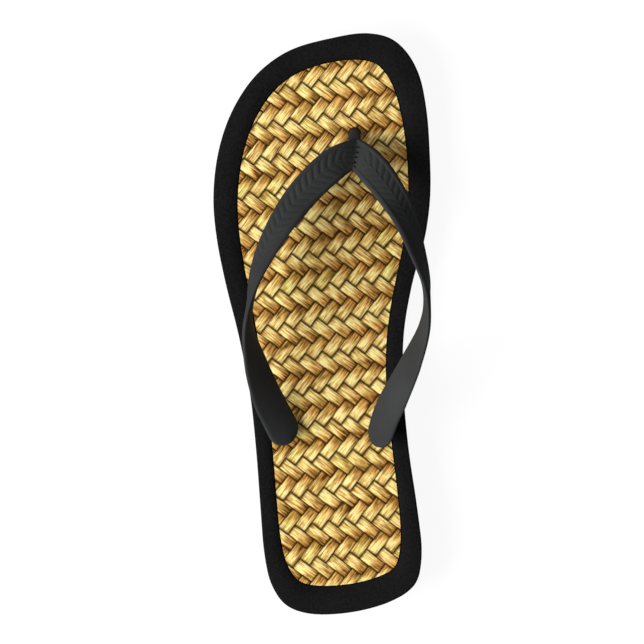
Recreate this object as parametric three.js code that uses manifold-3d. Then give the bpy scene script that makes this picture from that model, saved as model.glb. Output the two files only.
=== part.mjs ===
// A woven flip-flop for the left foot, in millimetres.
// +Z is up, +Y points from heel to toe, and +X is the big-toe (medial) side.
// The origin is on the floor, under the middle of the sole.
// Pieces: a moulded rubber sole, a thin top sheet with a shallow pocket, a mat of straw strips
// woven two over and two under that lies in the pocket, and a one-piece moulded thong strap.
// The strap's toe post and its two side stems go down through the sole and end in round plugs.
import * as THREE from "three";
import { mergeVertices } from "three/addons/utils/BufferGeometryUtils.js";
import Module from "manifold-3d";

const wasm = await Module();
wasm.setup();

// Overall sizes
const SOLE_LENGTH = 280;
const BALL_WIDTH = 105;
const HEEL_HEIGHT = 20;
const FOREFOOT_HEIGHT = 14;
const TOE_SPRING = 6;

// Sole and top sheet
const TOP_SHEET_THICKNESS = 3;
const SOLE_DRAFT = 1.6;
const FLOOR_EDGE_RADIUS = 1.2;
const TOP_EDGE_RADIUS = 1;
const SEAM_DEPTH = 0.8;
const RIM_WIDTH = 11;

// Woven mat
const POCKET_DEPTH = 1.7;
const MAT_BASE = 0.5;
const STRIP_RELIEF = 1.1;
const STRIP_WIDTH = 5.74;
const STRIP_SHOULDER = 1.2;
const WEAVE_TURN_DEG = -37.1;

// Strap
const STRAP_WIDTH = 15.4;
const STRAP_THICKNESS = 3.6;
const STRAP_BEVEL = 1.9;
const STRAP_CORNER = 0.7;
const STRAP_CROWN = 0.35;
const INSTEP_RISE = 28;
const CREASE_LENGTH = 14;
const TAB_END_LENGTH = 7.5;

// Toe post, side stems and the plugs at their lower ends
const POST_RADIUS = 2.7;
const POST_LEAN = 10.2;
const STEM_RADIUS = 3.2;
const STEM_FLARE = 1.3;
const PLUG_RADIUS = 8;
const PLUG_THICKNESS = 3;
const PLUG_FLOOR_CLEARANCE = 0.8;

// Fits
const GAP = 0.3;
const MAT_EDGE_GAP = 0.5;
const REACH = 200;

// Plan of the sole, seen from above. A row is a section across the foot.
// station: share of SOLE_LENGTH from the heel; lateral and medial: edges as shares of BALL_WIDTH from the
// origin's centre line; lateralRim and medialRim: width of the bare rim as shares of RIM_WIDTH.
const PLAN = [
  { station: 0.0, lateral: -0.025, medial: -0.025, lateralRim: 1.23, medialRim: 1.23 },
  { station: 0.015, lateral: -0.16, medial: 0.265, lateralRim: 1.25, medialRim: 1.2 },
  { station: 0.05, lateral: -0.229, medial: 0.424, lateralRim: 1.04, medialRim: 1.18 },
  { station: 0.1, lateral: -0.262, medial: 0.458, lateralRim: 0.8, medialRim: 0.93 },
  { station: 0.18, lateral: -0.281, medial: 0.439, lateralRim: 0.7, medialRim: 0.74 },
  { station: 0.28, lateral: -0.301, medial: 0.4, lateralRim: 0.69, medialRim: 0.67 },
  { station: 0.38, lateral: -0.33, medial: 0.376, lateralRim: 0.7, medialRim: 0.74 },
  { station: 0.48, lateral: -0.382, medial: 0.376, lateralRim: 0.78, medialRim: 0.74 },
  { station: 0.57, lateral: -0.442, medial: 0.416, lateralRim: 0.9, medialRim: 0.72 },
  { station: 0.65, lateral: -0.484, medial: 0.474, lateralRim: 0.95, medialRim: 0.8 },
  { station: 0.72, lateral: -0.498, medial: 0.498, lateralRim: 1.0, medialRim: 0.9 },
  { station: 0.8, lateral: -0.473, medial: 0.495, lateralRim: 1.01, medialRim: 0.95 },
  { station: 0.87, lateral: -0.407, medial: 0.48, lateralRim: 0.99, medialRim: 1.08 },
  { station: 0.93, lateral: -0.297, medial: 0.445, lateralRim: 0.96, medialRim: 1.18 },
  { station: 0.97, lateral: -0.15, medial: 0.384, lateralRim: 0.98, medialRim: 1.28 },
  { station: 0.992, lateral: 0.05, medial: 0.31, lateralRim: 1.0, medialRim: 1.27 },
  { station: 1.0, lateral: 0.2, medial: 0.2, lateralRim: 1.16, medialRim: 1.16 },
];

// The strap's two branches, each from the crease over the toe post to the round tab over its side stem.
// x and y: middle of the ribbon, as shares of BALL_WIDTH and SOLE_LENGTH. rise: height of its lower edge
// above the top sheet, as a share of INSTEP_RISE. roll: degrees that its outer face turns from straight up
// to the outside, so that past 90 its foot side shows from above. width: share of STRAP_WIDTH.
const CREASE = { x: 0.153, y: 0.794, rise: 0.34, roll: 20, width: 1.03 };
const LATERAL_BRANCH = [
  CREASE,
  { x: 0.058, y: 0.777, rise: 0.44, roll: 17, width: 1.07 },
  { x: -0.073, y: 0.732, rise: 0.58, roll: 23, width: 1.04 },
  { x: -0.191, y: 0.672, rise: 0.73, roll: 42, width: 1.0 },
  { x: -0.276, y: 0.608, rise: 0.88, roll: 62, width: 0.98 },
  { x: -0.325, y: 0.546, rise: 0.99, roll: 85, width: 0.98 },
  { x: -0.335, y: 0.489, rise: 0.93, roll: 106, width: 1.01 },
  { x: -0.303, y: 0.43, rise: 0.68, roll: 131, width: 1.07 },
  { x: -0.251, y: 0.374, rise: 0.3, roll: 146, width: 1.14 },
  { x: -0.214, y: 0.346, rise: 0.12, roll: 150, width: 1.14 },
  { x: -0.178, y: 0.319, rise: 0.04, roll: 152, width: 1.13 },
];
const MEDIAL_BRANCH = [
  CREASE,
  { x: 0.214, y: 0.777, rise: 0.44, roll: 17, width: 1.07 },
  { x: 0.297, y: 0.739, rise: 0.58, roll: 23, width: 1.04 },
  { x: 0.379, y: 0.686, rise: 0.73, roll: 42, width: 1.0 },
  { x: 0.441, y: 0.619, rise: 0.88, roll: 62, width: 0.98 },
  { x: 0.475, y: 0.557, rise: 0.99, roll: 85, width: 0.98 },
  { x: 0.466, y: 0.496, rise: 0.93, roll: 106, width: 1.0 },
  { x: 0.41, y: 0.434, rise: 0.68, roll: 128, width: 1.05 },
  { x: 0.333, y: 0.37, rise: 0.28, roll: 141, width: 1.1 },
  { x: 0.299, y: 0.342, rise: 0.12, roll: 141, width: 1.08 },
  { x: 0.271, y: 0.315, rise: 0.04, roll: 140, width: 1.06 },
];

// Heights of the layers along the foot. y is measured from the heel.
const smooth = (low, high, value) => THREE.MathUtils.smoothstep(value, low, high);
const WEDGE_START = 0.28;
const WEDGE_END = 0.68;
const SPRING_START = 0.72;

function floorHeight(y) {
  const past = Math.max(0, (y / SOLE_LENGTH - SPRING_START) / (1 - SPRING_START));
  return TOE_SPRING * past ** 2;
}

function topHeight(y) {
  const wedge = 1 - smooth(WEDGE_START, WEDGE_END, y / SOLE_LENGTH);
  return floorHeight(y) + FOREFOOT_HEIGHT + (HEEL_HEIGHT - FOREFOOT_HEIGHT) * wedge;
}

const soleTop = (y) => topHeight(y) - TOP_SHEET_THICKNESS - GAP;
const sheetBottom = (y) => topHeight(y) - TOP_SHEET_THICKNESS;
const pocketFloor = (y) => topHeight(y) - POCKET_DEPTH;
const matBottom = (y) => pocketFloor(y) + GAP;
const matGroove = (y) => matBottom(y) + MAT_BASE;
const matCrown = (y) => matGroove(y) + STRIP_RELIEF;

// Outline of the sole as one closed curve: heel, medial side, toe, lateral side. Its z holds the rim width.
const SAMPLES_PER_ROW = 3;
const planPoint = (station, edge, rim) =>
  new THREE.Vector3(edge * BALL_WIDTH, station * SOLE_LENGTH, rim * RIM_WIDTH);
const medialSide = PLAN.map((row) => planPoint(row.station, row.medial, row.medialRim));
const lateralSide = PLAN.slice(1, -1)
  .reverse()
  .map((row) => planPoint(row.station, row.lateral, row.lateralRim));
const outline = new THREE.CatmullRomCurve3([...medialSide, ...lateralSide], true, "centripetal");
const RING_POINTS = 2 * (PLAN.length - 1) * SAMPLES_PER_ROW;

// One ring around the sole, moved inwards by inset(rimWidth), at the height heightOf(y).
function ring(inset, heightOf) {
  return Array.from({ length: RING_POINTS }, (_, k) => {
    const at = outline.getPoint(k / RING_POINTS);
    const along = outline.getTangent(k / RING_POINTS).setZ(0).normalize();
    const distance = inset(at.z);
    const x = at.x - along.y * distance;
    const y = at.y + along.x * distance;
    return new THREE.Vector3(x, y, heightOf(y));
  });
}

// Skin over a stack of rings with equal numbers of points, each counterclockwise about the way they stack.
// zipCap closes a ring of the outline by joining point k to point count - k, which keeps a surface that
// bends only along the foot exact. fanCap closes a small flat ring.
function zipCap(base, count, face) {
  for (let k = 0; k < count / 2; k++) {
    const near = base + k;
    const far = base + ((count - k) % count);
    const nextFar = base + count - k - 1;
    if (near + 1 !== nextFar) face(near, near + 1, nextFar);
    if (near !== far) face(near, nextFar, far);
  }
}

function fanCap(base, count, face) {
  for (let k = 1; k + 1 < count; k++) face(base, base + k, base + k + 1);
}

function skin(rings, cap) {
  const count = rings[0].length;
  const index = [];
  for (let r = 0; r + 1 < rings.length; r++) {
    for (let k = 0; k < count; k++) {
      const a = r * count + k;
      const b = r * count + ((k + 1) % count);
      index.push(a, b, b + count, a, b + count, a + count);
    }
  }
  cap(0, count, (a, b, c) => index.push(a, c, b));
  cap((rings.length - 1) * count, count, (a, b, c) => index.push(a, b, c));
  const geometry = new THREE.BufferGeometry();
  const positions = rings.flat().flatMap((p) => p.toArray());
  geometry.setAttribute("position", new THREE.Float32BufferAttribute(positions, 3));
  return geometry.setIndex(index);
}

// Closed geometry to solid, and solid back to geometry.
function solid(geometry) {
  const bare = geometry.clone();
  bare.deleteAttribute("normal");
  bare.deleteAttribute("uv");
  const merged = mergeVertices(bare, 1e-4);
  return new wasm.Manifold(
    new wasm.Mesh({
      numProp: 3,
      vertProperties: new Float32Array(merged.attributes.position.array),
      triVerts: new Uint32Array(merged.index.array),
    })
  );
}

function geometryOf(made) {
  const { vertProperties, triVerts } = made.getMesh();
  const geometry = new THREE.BufferGeometry();
  geometry.setAttribute("position", new THREE.Float32BufferAttribute(vertProperties, 3));
  geometry.setIndex(Array.from(triVerts));
  geometry.computeVertexNormals();
  return geometry;
}

// Upright round bar between two heights, for plugs and for the holes and seats in the layers.
const ROUND_SIDES = 24;
function bar(at, radius, low, high) {
  const cylinder = new THREE.CylinderGeometry(radius, radius, high - low, ROUND_SIDES);
  cylinder.rotateX(Math.PI / 2).translate(at.x, at.y, (low + high) / 2);
  return solid(cylinder);
}

// Strap: a ribbon from the lateral tab over the toe post to the medial tab.
const SECTIONS_PER_ROW = 3;
const UP = new THREE.Vector3(0, 0, 1);

// Frames along one branch, crease first. outward is -1 on the lateral side and 1 on the medial one. across
// points to the ribbon's outer edge and face out of its outer side.
function branchFrames(rows, outward) {
  const points = rows.map(({ x, y, rise }) => {
    const along = y * SOLE_LENGTH;
    return new THREE.Vector3(x * BALL_WIDTH, along, topHeight(along) + rise * INSTEP_RISE);
  });
  const path = new THREE.CatmullRomCurve3(points, false, "centripetal");
  const turns = rows.map((row, k) => new THREE.Vector3(k, row.roll, row.width * STRAP_WIDTH));
  const turning = new THREE.CatmullRomCurve3(turns, false, "catmullrom");
  const steps = (rows.length - 1) * SECTIONS_PER_ROW;
  return Array.from({ length: steps + 1 }, (_, step) => {
    const edge = path.getPoint(step / steps);
    const { y: roll, z: width } = turning.getPoint(step / steps);
    return ribbonFrame(edge, path.getTangent(step / steps), roll, width, outward, points[0]);
  });
}

// Both branches share one upright section at the crease, and turn into their own way over CREASE_LENGTH.
function ribbonFrame(edge, tangent, roll, width, outward, crease) {
  const sideways = new THREE.Vector3(outward, 0, 0);
  const own = smooth(0, CREASE_LENGTH, edge.distanceTo(crease));
  const along = sideways.lerp(tangent, own).normalize();
  const out = new THREE.Vector3(-along.y, along.x, 0).multiplyScalar(outward).normalize();
  const lift = new THREE.Vector3().crossVectors(along, out).multiplyScalar(outward);
  const angle = THREE.MathUtils.degToRad(roll);
  const across = out.clone().multiplyScalar(Math.cos(angle)).addScaledVector(lift, -Math.sin(angle));
  const face = lift.clone().multiplyScalar(Math.cos(angle)).addScaledVector(out, Math.sin(angle));
  const depth = (width / 2) * Math.abs(across.z) + (STRAP_THICKNESS / 2) * Math.abs(face.z);
  return { at: edge.clone().addScaledVector(UP, depth), along, across, face, width };
}

const lateralFrames = branchFrames(LATERAL_BRANCH, -1);
const medialFrames = branchFrames(MEDIAL_BRANCH, 1);
const creaseFrame = medialFrames[0];

// The toe post stands ahead of the crease, and each side stem under the middle of its tab.
const postHole = creaseFrame.at.clone().setY(creaseFrame.at.y + POST_LEAN);
const fixings = [
  { at: postHole, radius: POST_RADIUS, frame: creaseFrame },
  { at: lateralFrames.at(-1).at, radius: STEM_RADIUS, frame: lateralFrames.at(-1) },
  { at: medialFrames.at(-1).at, radius: STEM_RADIUS, frame: medialFrames.at(-1) },
];

// A plug lies in a seat under the sole and stays off the floor.
const plugLow = (fixing) => floorHeight(fixing.at.y + PLUG_RADIUS) + PLUG_FLOOR_CLEARANCE;
const plugHigh = (fixing) => plugLow(fixing) + PLUG_THICKNESS;
const drillStems = (body) =>
  fixings.reduce((left, f) => left.subtract(bar(f.at, f.radius + GAP, -REACH, REACH)), body);

// A rounded edge has one ring between its ends, at this share of its radius from both faces.
const ROUND_EDGE_SHARE = 0.3;

// Sole: one thick slab with slightly drafted sides, a soft lower edge and three plug seats underneath.
function makeSole() {
  const roundLow = FLOOR_EDGE_RADIUS * ROUND_EDGE_SHARE;
  const rings = [
    ring(() => SOLE_DRAFT + FLOOR_EDGE_RADIUS, floorHeight),
    ring(() => SOLE_DRAFT + roundLow, (y) => floorHeight(y) + roundLow),
    ring(() => SOLE_DRAFT, (y) => floorHeight(y) + FLOOR_EDGE_RADIUS),
    ring(() => 0, (y) => soleTop(y) - SEAM_DEPTH),
    ring(() => SEAM_DEPTH, soleTop),
  ];
  const seats = fixings.map((f) => bar(f.at, PLUG_RADIUS + GAP, -REACH, plugHigh(f) + GAP));
  return seats.reduce((left, seat) => left.subtract(seat), drillStems(solid(skin(rings, zipCap))));
}

// Top sheet: bare around the rim, with a shallow pocket for the mat.
function makeTopSheet() {
  const roundTop = TOP_EDGE_RADIUS * ROUND_EDGE_SHARE;
  const rings = [
    ring(() => SEAM_DEPTH, sheetBottom),
    ring(() => 0, (y) => sheetBottom(y) + SEAM_DEPTH),
    ring(() => 0, (y) => topHeight(y) - TOP_EDGE_RADIUS),
    ring(() => roundTop, (y) => topHeight(y) - roundTop),
    ring(() => TOP_EDGE_RADIUS, topHeight),
  ];
  const pocket = skin([ring((rim) => rim, pocketFloor), ring((rim) => rim, () => REACH)], zipCap);
  return drillStems(solid(skin(rings, zipCap)).subtract(solid(pocket)));
}

// Woven mat: strips at right angles, two over and two under, on a lattice turned against the foot.
// A strip that passes over two others shows as a raised pad, two cells long and one cell wide.
const WEAVE_REPEAT = 4;
const WEAVE_PHASE = { x: -0.1213, y: 0.2565 };

function makeMat() {
  const turn = THREE.MathUtils.degToRad(WEAVE_TURN_DEG);
  const alongA = new THREE.Vector2(Math.cos(turn), Math.sin(turn)).multiplyScalar(STRIP_WIDTH);
  const alongB = new THREE.Vector2(-alongA.y, alongA.x);
  const start = new THREE.Vector2(WEAVE_PHASE.x * BALL_WIDTH, WEAVE_PHASE.y * SOLE_LENGTH);
  const place = (i, j) => start.clone().addScaledVector(alongA, i).addScaledVector(alongB, j);

  // The lattice covers the whole sole, and the outline of the pocket then cuts it.
  const corners = [-1, 1].flatMap((side) =>
    [0, SOLE_LENGTH].map((y) => new THREE.Vector2((side * BALL_WIDTH) / 2, y).sub(start))
  );
  const cells = (axis) => corners.map((corner) => corner.dot(axis) / STRIP_WIDTH ** 2);
  const lowI = Math.floor(Math.min(...cells(alongA)));
  const highI = Math.ceil(Math.max(...cells(alongA)));
  const lowJ = Math.floor(Math.min(...cells(alongB)));
  const highJ = Math.ceil(Math.max(...cells(alongB)));

  const positions = [];
  const index = [];
  const vertex = (i, j, heightOf) => {
    const at = place(i, j);
    return positions.push(at.x, at.y, heightOf(at.y)) / 3 - 1;
  };
  const columns = highJ - lowJ + 1;
  const layer = (heightOf) => {
    const base = positions.length / 3;
    for (let i = lowI; i <= highI; i++) {
      for (let j = lowJ; j <= highJ; j++) vertex(i, j, heightOf);
    }
    return (i, j) => base + (i - lowI) * columns + (j - lowJ);
  };
  const under = layer(matBottom);
  const groove = layer(matGroove);
  const fan = (...faces) => faces.forEach((face) => index.push(...face));

  // One pad from cell (i, j), running along A (turned false) or along B (turned true).
  const shoulder = STRIP_SHOULDER / STRIP_WIDTH;
  const pad = (i, j, turned) => {
    const node = (u, v) => (turned ? groove(i + 1 - v, j + u) : groove(i + u, j + v));
    const crown = (u, v) =>
      turned ? vertex(i + 1 - v, j + u, matCrown) : vertex(i + u, j + v, matCrown);
    const p = [node(0, 0), node(1, 0), node(2, 0), node(2, 1), node(1, 1), node(0, 1)];
    const q = [
      crown(shoulder, shoulder),
      crown(2 - shoulder, shoulder),
      crown(2 - shoulder, 1 - shoulder),
      crown(shoulder, 1 - shoulder),
    ];
    fan([p[0], p[1], q[0]], [p[1], q[1], q[0]], [p[1], p[2], q[1]], [p[2], p[3], q[2]]);
    fan([p[2], q[2], q[1]], [p[3], p[4], q[2]], [p[4], q[3], q[2]], [p[4], p[5], q[3]]);
    fan([p[5], p[0], q[0]], [p[5], q[0], q[3]], [q[0], q[1], q[2]], [q[0], q[2], q[3]]);
  };

  for (let i = lowI; i < highI; i++) {
    for (let j = lowJ; j < highJ; j++) {
      const phase = THREE.MathUtils.euclideanModulo(i - j, WEAVE_REPEAT);
      const startsA = phase === 0 && i + 2 <= highI;
      const endsA = phase === 1 && i - 1 >= lowI;
      const startsB = phase === 3 && j + 2 <= highJ;
      const endsB = phase === 2 && j - 1 >= lowJ;
      if (startsA) pad(i, j, false);
      else if (startsB) pad(i, j, true);
      else if (!endsA && !endsB) {
        fan([groove(i, j), groove(i + 1, j), groove(i + 1, j + 1)]);
        fan([groove(i, j), groove(i + 1, j + 1), groove(i, j + 1)]);
      }
      fan([under(i, j), under(i + 1, j + 1), under(i + 1, j)]);
      fan([under(i, j), under(i, j + 1), under(i + 1, j + 1)]);
    }
  }
  const wall = (i, j, nextI, nextJ) => {
    fan([under(i, j), under(nextI, nextJ), groove(nextI, nextJ)]);
    fan([under(i, j), groove(nextI, nextJ), groove(i, j)]);
  };
  for (let i = lowI; i < highI; i++) {
    wall(i, lowJ, i + 1, lowJ);
    wall(i + 1, highJ, i, highJ);
  }
  for (let j = lowJ; j < highJ; j++) {
    wall(highI, j, highI, j + 1);
    wall(lowI, j + 1, lowI, j);
  }

  const weave = new THREE.BufferGeometry();
  weave.setAttribute("position", new THREE.Float32BufferAttribute(positions, 3));
  weave.setIndex(index);
  const edge = (height) => ring((rim) => rim + MAT_EDGE_GAP, () => height);
  const cutter = skin([edge(-REACH), edge(REACH)], zipCap);
  return drillStems(solid(weave).intersect(solid(cutter)));
}

// Section of the ribbon, as u across it and v out of its outer face. Its foot side is flat with small
// bevels, and its outer face is crowned between two wide ones.
const WIDEST_BEVEL_SHARE = 0.6;
const WIDEST_CORNER_SHARE = 0.4;
function ribbonRing(frame) {
  const half = frame.width / 2;
  const bevel = Math.min(STRAP_BEVEL, half * WIDEST_BEVEL_SHARE);
  const corner = Math.min(STRAP_CORNER, half * WIDEST_CORNER_SHARE);
  const right = [
    [half - corner, -STRAP_THICKNESS / 2],
    [half, corner - STRAP_THICKNESS / 2],
    [half, 0],
    [half - bevel, STRAP_THICKNESS / 2 - STRAP_CROWN],
  ];
  const left = right.map(([u, v]) => [-u, v]).reverse();
  return [...right, [0, STRAP_THICKNESS / 2], ...left].map(([u, v]) =>
    frame.at.clone().addScaledVector(frame.across, u).addScaledVector(frame.face, v)
  );
}

// The round end past the last frame of a branch: its width follows a half circle, cut short at the tip.
const TAB_SECTIONS = 5;
const TIP_CUT = 0.4;
function tabFrames(last) {
  const along = last.along.clone().setZ(0).normalize();
  return Array.from({ length: TAB_SECTIONS }, (_, step) => {
    const angle = ((step + 1) / (TAB_SECTIONS + TIP_CUT)) * (Math.PI / 2);
    const at = last.at.clone().addScaledVector(along, TAB_END_LENGTH * Math.sin(angle));
    return { ...last, at, width: last.width * Math.cos(angle) };
  });
}

// Round ring about a centre, counterclockwise about a normal that points up.
function discRing(centre, normal, radius) {
  const first = new THREE.Vector3(1, 0, 0).projectOnPlane(normal).normalize();
  const second = new THREE.Vector3().crossVectors(normal, first);
  return Array.from({ length: ROUND_SIDES / 2 }, (_, k) => {
    const angle = (k / (ROUND_SIDES / 2)) * 2 * Math.PI;
    const spoke = first.clone().multiplyScalar(Math.cos(angle)).addScaledVector(second, Math.sin(angle));
    return centre.clone().addScaledVector(spoke, radius);
  });
}

// Post or stem: straight through the layers, then bent to meet the ribbon square on and flared into it.
const BEND_SECTIONS = 4;
function makeStem({ at, radius, frame }, low) {
  const exit = new THREE.Vector3(at.x, at.y, topHeight(at.y) + GAP);
  const control = exit.clone().lerp(new THREE.Vector3(at.x, at.y, frame.at.z), 0.5);
  const bend = new THREE.QuadraticBezierCurve3(exit, control, frame.at);
  const normal = frame.face.clone().multiplyScalar(Math.sign(frame.face.z));
  const rings = [discRing(exit.clone().setZ(low), UP, radius)];
  for (let step = 0; step <= BEND_SECTIONS; step++) {
    const t = step / BEND_SECTIONS;
    const axis = UP.clone().lerp(normal, t).normalize();
    rings.push(discRing(bend.getPoint(t), axis, radius + STEM_FLARE * t ** 2));
  }
  return solid(skin(rings, fanCap));
}

function makeStrap() {
  const frames = [
    ...tabFrames(lateralFrames.at(-1)).reverse(),
    ...lateralFrames.slice(1).reverse(),
    ...medialFrames,
    ...tabFrames(medialFrames.at(-1)),
  ];
  const ribbon = solid(skin(frames.map(ribbonRing), fanCap));
  return fixings.reduce((joined, fixing) => {
    const low = plugLow(fixing);
    const plug = bar(fixing.at, PLUG_RADIUS, low, plugHigh(fixing));
    return joined.add(makeStem(fixing, low)).add(plug);
  }, ribbon);
}

// Materials and the finished group, moved so that its origin is on the floor under the middle of the sole.
const rubber = { color: 0x232324, roughness: 0.62, metalness: 0 };
const parts = [
  { name: "sole", made: makeSole(), look: { color: 0x1a1a1b, roughness: 0.8, metalness: 0 } },
  { name: "top_sheet", made: makeTopSheet(), look: { color: 0x19191a, roughness: 0.9, metalness: 0 } },
  { name: "woven_mat", made: makeMat(), look: { color: 0xb59557, roughness: 0.7, metalness: 0 } },
  { name: "strap", made: makeStrap(), look: rubber },
];

const flipFlop = new THREE.Group();
flipFlop.name = "woven_flip_flop";
for (const { name, made, look } of parts) {
  const mesh = new THREE.Mesh(geometryOf(made), new THREE.MeshStandardMaterial(look));
  mesh.name = name;
  flipFlop.add(mesh);
}
const box = new THREE.Box3().setFromObject(flipFlop);
const middle = box.getCenter(new THREE.Vector3());
flipFlop.position.set(-middle.x, -middle.y, -box.min.z);
flipFlop.updateMatrixWorld(true);

export default flipFlop;
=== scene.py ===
# %% [markdown]
# # A woven flip-flop, for the left foot
#
# The real shoe is a slab of black foam rubber with a thin top sheet, a mat woven from straw strips that
# lies in a shallow pocket of that sheet, and a thong strap moulded in one piece. The solids come from the
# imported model. This lesson gives them the look of the real thing, in metres and in the same frame.

# %% Load the solids
import math

import bmesh
import bpy
import numpy as np
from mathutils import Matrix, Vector


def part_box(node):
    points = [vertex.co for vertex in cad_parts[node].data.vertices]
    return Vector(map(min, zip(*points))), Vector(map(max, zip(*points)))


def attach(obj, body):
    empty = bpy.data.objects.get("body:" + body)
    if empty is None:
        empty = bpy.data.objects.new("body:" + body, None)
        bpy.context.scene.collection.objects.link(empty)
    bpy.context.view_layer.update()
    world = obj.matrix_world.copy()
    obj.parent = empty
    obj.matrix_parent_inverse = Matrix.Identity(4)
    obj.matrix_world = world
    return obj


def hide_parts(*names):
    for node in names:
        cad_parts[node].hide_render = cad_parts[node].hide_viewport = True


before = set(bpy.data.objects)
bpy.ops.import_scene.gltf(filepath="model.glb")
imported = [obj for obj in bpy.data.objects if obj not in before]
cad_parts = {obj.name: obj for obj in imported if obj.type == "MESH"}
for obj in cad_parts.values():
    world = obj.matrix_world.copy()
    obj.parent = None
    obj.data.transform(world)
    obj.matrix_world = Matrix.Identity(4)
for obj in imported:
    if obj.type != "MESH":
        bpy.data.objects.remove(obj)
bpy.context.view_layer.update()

MM = 0.001

# %% [markdown]
# ## Sizes
#
# The finished pieces have to follow the solids, so the maker's sizes are written down once more, in metres.
# Heights count from the floor and lengths from the heel. Two soft forms differ from the solids: the mat's
# corners are a little rounder, and the strap's front is wider and flatter, with a deeper crease.

# %% Sizes of the shoe
SOLE_LENGTH = 280 * MM
BALL_WIDTH = 105 * MM
HEEL_HEIGHT = 20 * MM
FOREFOOT_HEIGHT = 14 * MM
TOE_SPRING = 6 * MM
WEDGE_START = 0.28
WEDGE_END = 0.68
SPRING_START = 0.72
TOP_SHEET_THICKNESS = 3 * MM
GAP = 0.3 * MM


def smoothstep(low, high, value):
    t = np.clip((value - low) / (high - low), 0, 1)
    return t * t * (3 - 2 * t)


def floor_height(y):
    past = np.maximum(0, (y / SOLE_LENGTH - SPRING_START) / (1 - SPRING_START))
    return TOE_SPRING * past**2


def top_height(y):
    wedge = 1 - smoothstep(WEDGE_START, WEDGE_END, y / SOLE_LENGTH)
    return floor_height(y) + FOREFOOT_HEIGHT + (HEEL_HEIGHT - FOREFOOT_HEIGHT) * wedge


# %% [markdown]
# ## The outline of the foot
#
# Both the sole and the mat follow one closed outline. It could be drawn as a Bezier curve, but a table of
# sections across the foot is easier to measure and to change: how far along the foot, how far out on
# either side, and how wide the bare rim is there. A smooth curve goes through all of those points.

# %% Sections across the foot
# Share of the length, lateral edge, medial edge (shares of the ball's width), lateral and medial rim.
PLAN = np.array([
    (0.0, -0.025, -0.025, 1.16, 1.16),
    (0.015, -0.16, 0.265, 1.18, 1.1),
    (0.05, -0.229, 0.424, 0.97, 1.12),
    (0.1, -0.262, 0.458, 0.74, 0.87),
    (0.18, -0.281, 0.439, 0.7, 0.74),
    (0.28, -0.301, 0.4, 0.69, 0.67),
    (0.38, -0.33, 0.376, 0.7, 0.74),
    (0.48, -0.382, 0.376, 0.78, 0.74),
    (0.57, -0.442, 0.416, 0.9, 0.72),
    (0.65, -0.484, 0.474, 0.95, 0.8),
    (0.72, -0.498, 0.498, 1.0, 0.9),
    (0.8, -0.473, 0.495, 1.01, 0.95),
    (0.87, -0.407, 0.48, 0.99, 1.08),
    (0.93, -0.297, 0.445, 0.96, 1.18),
    (0.97, -0.15, 0.384, 0.95, 1.25),
    (0.992, 0.05, 0.31, 0.96, 1.23),
    (1.0, 0.2, 0.2, 1.12, 1.12),
])


# %% A smooth curve through points
def through(points, where, closed=False, even=False):
    """Points of a smooth curve through the given ones, at shares 0 to 1 of the way along them.

    The curve is the centripetal kind, which makes no loops, or the plain kind where even is true.
    """
    points = np.asarray(points, float)
    count = len(points)
    spans = count if closed else count - 1
    place = np.clip(np.asarray(where, float), 0, 1) * spans
    span = np.minimum(place.astype(int), spans - 1)
    t = (place - span)[:, None]
    if closed:
        before, start, end, after = (points[(span + k) % count] for k in (-1, 0, 1, 2))
    else:
        first = 2 * points[0] - points[1]
        last = 2 * points[-1] - points[-2]
        longer = np.vstack([first, points, last])
        before, start, end, after = (longer[span + k] for k in (0, 1, 2, 3))
    if even:
        leave = (end - before) / 2
        arrive = (after - start) / 2
    else:
        gap0, gap1, gap2 = (
            np.maximum(np.linalg.norm(b - a, axis=1, keepdims=True), 1e-9) ** 0.5
            for a, b in ((before, start), (start, end), (end, after))
        )
        leave = (start - before) / gap0 - (end - before) / (gap0 + gap1) + (end - start) / gap1
        arrive = (end - start) / gap1 - (after - start) / (gap1 + gap2) + (after - end) / gap2
        leave, arrive = leave * gap1, arrive * gap1
    cubic = 2 * start - 2 * end + leave + arrive
    square = -3 * start + 3 * end - 2 * leave - arrive
    return ((cubic * t + square) * t + leave) * t + start


def direction(points, where, closed=False):
    step = 1e-4
    ahead = through(points, np.minimum(np.asarray(where) + step, 1), closed)
    behind = through(points, np.maximum(np.asarray(where) - step, 0), closed)
    return ahead - behind


def unit(vectors):
    return vectors / np.linalg.norm(vectors, axis=-1, keepdims=True)


# %% Rings around the foot
RIM_WIDTH = 11 * MM
PLAN_STEPS = 96
FINE_STEPS = 4 * PLAN_STEPS
medial_side = PLAN[:, [2, 0, 4]]
lateral_side = PLAN[1:-1, [1, 0, 3]][::-1]
outline = np.vstack([medial_side, lateral_side]) * [BALL_WIDTH, SOLE_LENGTH, RIM_WIDTH]
plan_shares = np.arange(PLAN_STEPS) / PLAN_STEPS
plan_points = through(outline, plan_shares, closed=True)
plan_ways = unit(direction(outline, plan_shares, closed=True)[:, :2])
sole_low, sole_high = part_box("sole")
sole_middle = (sole_low[0] + sole_high[0]) / 2
plan_middle = (plan_points[:, 0].max() + plan_points[:, 0].min()) / 2
SHIFT = np.array([sole_middle - plan_middle, -SOLE_LENGTH / 2])


def ring(inset, heights, rounding=0):
    """One ring around the foot, moved inwards. inset takes the rim's width, and heights takes y.

    Each round of rounding averages every point with its neighbours, which softens the corners.
    """
    distance = np.broadcast_to(inset(plan_points[:, 2]), PLAN_STEPS)
    x = plan_points[:, 0] - plan_ways[:, 1] * distance
    y = plan_points[:, 1] + plan_ways[:, 0] * distance
    coarse = np.column_stack([x, y])
    for _ in range(rounding):
        coarse = (np.roll(coarse, 1, axis=0) + 2 * coarse + np.roll(coarse, -1, axis=0)) / 4
    fine = through(coarse, np.arange(FINE_STEPS) / FINE_STEPS, closed=True)
    high = np.broadcast_to(heights(fine[:, 1]), FINE_STEPS)
    return np.column_stack([fine + SHIFT, high])


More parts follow.
